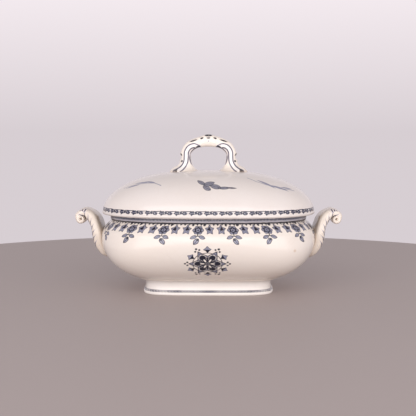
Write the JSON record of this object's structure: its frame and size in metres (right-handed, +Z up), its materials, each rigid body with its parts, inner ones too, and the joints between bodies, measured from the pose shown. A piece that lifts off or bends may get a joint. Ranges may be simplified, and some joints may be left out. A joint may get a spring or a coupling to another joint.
{
  "type": "soup tureen",
  "caption": "footed oval soup tureen with scrolled side handles and a domed lift-off lid carried by an arch handle",
  "frame": {"origin": "on the table, under the middle of the foot", "axes": "+Z up, X along the length from side handle to side handle, -Y is the front"},
  "size_m": [0.348, 0.203, 0.2033],
  "materials": {
    "bowl_glaze": "gloss",
    "foot_glaze": "gloss",
    "side_handle_glaze": "gloss",
    "lid_glaze": "gloss",
    "lid_handle_glaze": "gloss"
  },
  "bodies": {
    "bowl_body": {"bowl": "bowl_glaze", "foot": "foot_glaze", "handle_left": "side_handle_glaze", "handle_right": "side_handle_glaze"},
    "lid_body": {"lid": "lid_glaze", "lid_handle": "lid_handle_glaze"}
  },
  "joints": [
    {"name": "lid_lift", "type": "slide", "parent": "bowl_body", "child": "lid_body", "axis": [0, 0, 1], "range_m": [0, 0.11]}
  ]
}
